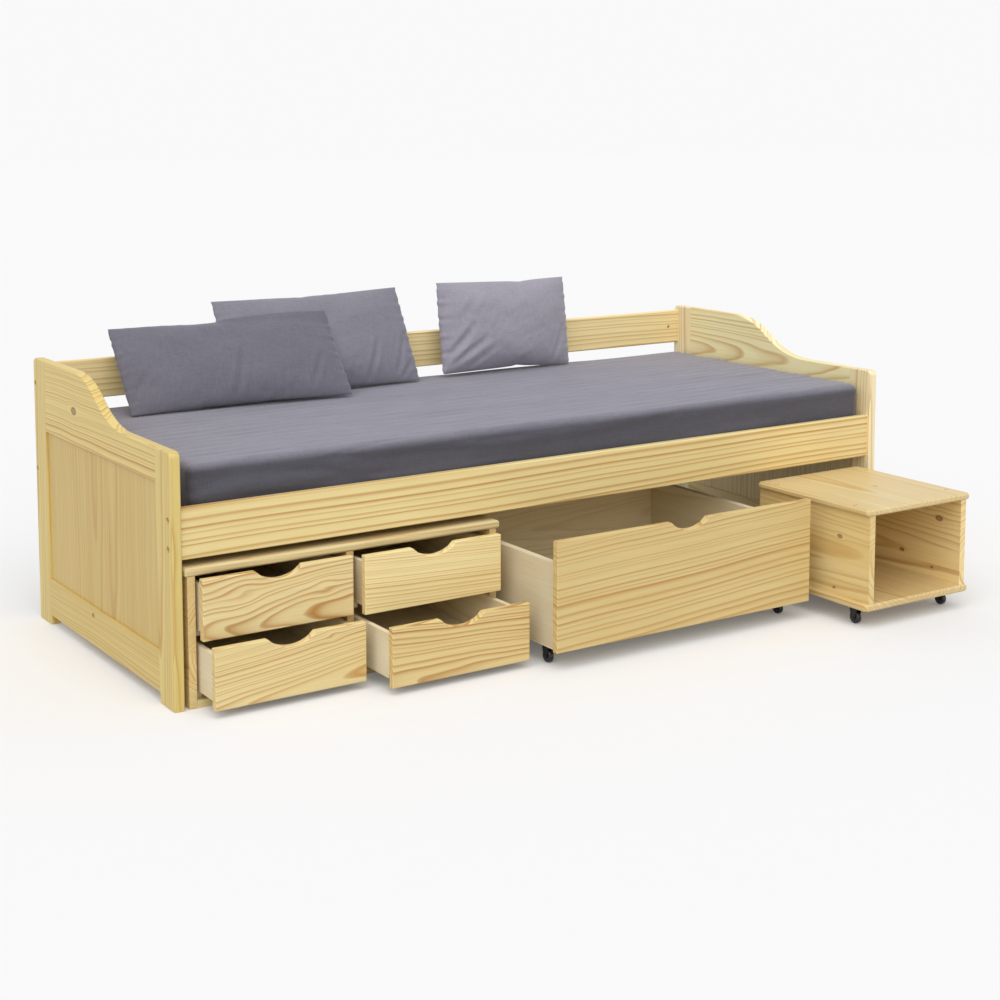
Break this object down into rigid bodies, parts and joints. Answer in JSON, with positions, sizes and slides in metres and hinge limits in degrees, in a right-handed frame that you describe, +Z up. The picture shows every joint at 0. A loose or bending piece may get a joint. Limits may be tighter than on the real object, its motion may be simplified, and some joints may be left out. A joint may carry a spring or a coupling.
{
  "type": "storage bed",
  "caption": "Pine daybed with curved ends and a backrest rail, a mattress and pillows, and under it a chest of small drawers, a deep rolling drawer and an open rolling side table",
  "frame": {"origin": "On the floor, in the middle of the whole object's box at rest, with its drawers and side table pulled out as in the picture", "axes": "+X along the bed from its left end to its right end as seen from the front, +Y towards the backrest rail, so that the drawers open towards -Y, +Z up"},
  "size_m": [2.074, 1.2432, 0.7913],
  "materials": {
    "lacquered_pine": "clear satin lacquer",
    "table_pine": "clear satin lacquer",
    "raw_softwood": "planed, unlacquered",
    "thin_plywood": "sanded plywood",
    "mattress_sheet": "plain woven cotton sheet",
    "pillow_cotton": "plain woven cotton",
    "zinc_steel": "zinc plated",
    "black_steel": "black enamel",
    "castor_plastic": "hard black nylon"
  },
  "bodies": {
    "bed": {"backrest_rail": "lacquered_pine", "bed_slats": "raw_softwood", "chest_back": "thin_plywood", "chest_bottom": "lacquered_pine", "chest_divider": "lacquered_pine", "chest_left_side": "lacquered_pine", "chest_right_side": "lacquered_pine", "chest_runners": "raw_softwood", "chest_top": "lacquered_pine", "cross_nuts": "zinc_steel", "frame_bolts": "zinc_steel", "front_rail": "lacquered_pine", "left_bottom_rail": "lacquered_pine", "left_end_panel": "lacquered_pine", "left_front_post": "lacquered_pine", "left_pillow": "pillow_cotton", "left_rear_post": "lacquered_pine", "left_top_rail": "lacquered_pine", "mattress": "mattress_sheet", "middle_pillow": "pillow_cotton", "rear_rail": "lacquered_pine", "right_bottom_rail": "lacquered_pine", "right_end_panel": "lacquered_pine", "right_front_post": "lacquered_pine", "right_rear_post": "lacquered_pine", "right_top_rail": "lacquered_pine", "slat_ledgers": "raw_softwood", "small_cushion": "pillow_cotton"},
    "upper_left_drawer": {"upper_left_drawer_front": "lacquered_pine", "upper_left_drawer_box": "raw_softwood", "upper_left_drawer_bottom": "thin_plywood"},
    "lower_left_drawer": {"lower_left_drawer_front": "lacquered_pine", "lower_left_drawer_box": "raw_softwood", "lower_left_drawer_bottom": "thin_plywood"},
    "upper_right_drawer": {"upper_right_drawer_front": "lacquered_pine", "upper_right_drawer_box": "raw_softwood", "upper_right_drawer_bottom": "thin_plywood"},
    "lower_right_drawer": {"lower_right_drawer_front": "lacquered_pine", "lower_right_drawer_box": "raw_softwood", "lower_right_drawer_bottom": "thin_plywood"},
    "rolling_drawer": {"rolling_drawer_back": "raw_softwood", "rolling_drawer_bottom": "thin_plywood", "rolling_drawer_castor_forks": "black_steel", "rolling_drawer_front": "lacquered_pine", "rolling_drawer_sides": "raw_softwood"},
    "side_table": {"side_table_back": "table_pine", "side_table_bottom": "table_pine", "side_table_castor_forks": "black_steel", "side_table_left_side": "table_pine", "side_table_right_side": "table_pine", "side_table_screws": "zinc_steel", "side_table_top": "table_pine"},
    "rolling_drawer_front_left_wheel": {"rolling_drawer_front_left_wheel": "castor_plastic"},
    "rolling_drawer_front_right_wheel": {"rolling_drawer_front_right_wheel": "castor_plastic"},
    "rolling_drawer_back_left_wheel": {"rolling_drawer_back_left_wheel": "castor_plastic"},
    "rolling_drawer_back_right_wheel": {"rolling_drawer_back_right_wheel": "castor_plastic"},
    "side_table_front_left_wheel": {"side_table_front_left_wheel": "castor_plastic"},
    "side_table_front_right_wheel": {"side_table_front_right_wheel": "castor_plastic"},
    "side_table_back_left_wheel": {"side_table_back_left_wheel": "castor_plastic"},
    "side_table_back_right_wheel": {"side_table_back_right_wheel": "castor_plastic"}
  },
  "joints": [
    {"name": "upper_left_drawer_slide", "type": "slide", "parent": "bed", "child": "upper_left_drawer", "axis": [0, -1, 0], "range_m": [-0.035, 0.365]},
    {"name": "lower_left_drawer_slide", "type": "slide", "parent": "bed", "child": "lower_left_drawer", "axis": [0, -1, 0], "range_m": [-0.092, 0.308]},
    {"name": "upper_right_drawer_slide", "type": "slide", "parent": "bed", "child": "upper_right_drawer", "axis": [0, -1, 0], "range_m": [-0.051, 0.349]},
    {"name": "lower_right_drawer_slide", "type": "slide", "parent": "bed", "child": "lower_right_drawer", "axis": [0, -1, 0], "range_m": [-0.171, 0.229]},
    {"name": "rolling_drawer_roll", "type": "slide", "parent": "bed", "child": "rolling_drawer", "axis": [0, -1, 0], "range_m": [-0.239, 0.42]},
    {"name": "side_table_roll", "type": "slide", "parent": "bed", "child": "side_table", "axis": [0, -1, 0], "range_m": [-0.396, 0.25]},
    {"name": "rolling_drawer_front_left_spin", "type": "hinge", "parent": "rolling_drawer", "child": "rolling_drawer_front_left_wheel", "pos_m": [-0.1725, -0.3835, 0.016], "axis": [1, 0, 0], "continuous": true},
    {"name": "rolling_drawer_front_right_spin", "type": "hinge", "parent": "rolling_drawer", "child": "rolling_drawer_front_right_wheel", "pos_m": [0.543, -0.3835, 0.016], "axis": [1, 0, 0], "continuous": true},
    {"name": "rolling_drawer_back_left_spin", "type": "hinge", "parent": "rolling_drawer", "child": "rolling_drawer_back_left_wheel", "pos_m": [-0.1725, 0.0995, 0.016], "axis": [1, 0, 0], "continuous": true},
    {"name": "rolling_drawer_back_right_spin", "type": "hinge", "parent": "rolling_drawer", "child": "rolling_drawer_back_right_wheel", "pos_m": [0.543, 0.0995, 0.016], "axis": [1, 0, 0], "continuous": true},
    {"name": "side_table_front_left_spin", "type": "hinge", "parent": "side_table", "child": "side_table_front_left_wheel", "pos_m": [0.647, -0.5555, 0.016], "axis": [1, 0, 0], "continuous": true},
    {"name": "side_table_front_right_spin", "type": "hinge", "parent": "side_table", "child": "side_table_front_right_wheel", "pos_m": [0.952, -0.5555, 0.016], "axis": [1, 0, 0], "continuous": true},
    {"name": "side_table_back_left_spin", "type": "hinge", "parent": "side_table", "child": "side_table_back_left_wheel", "pos_m": [0.647, -0.2815, 0.016], "axis": [1, 0, 0], "continuous": true},
    {"name": "side_table_back_right_spin", "type": "hinge", "parent": "side_table", "child": "side_table_back_right_wheel", "pos_m": [0.952, -0.2815, 0.016], "axis": [1, 0, 0], "continuous": true}
  ]
}
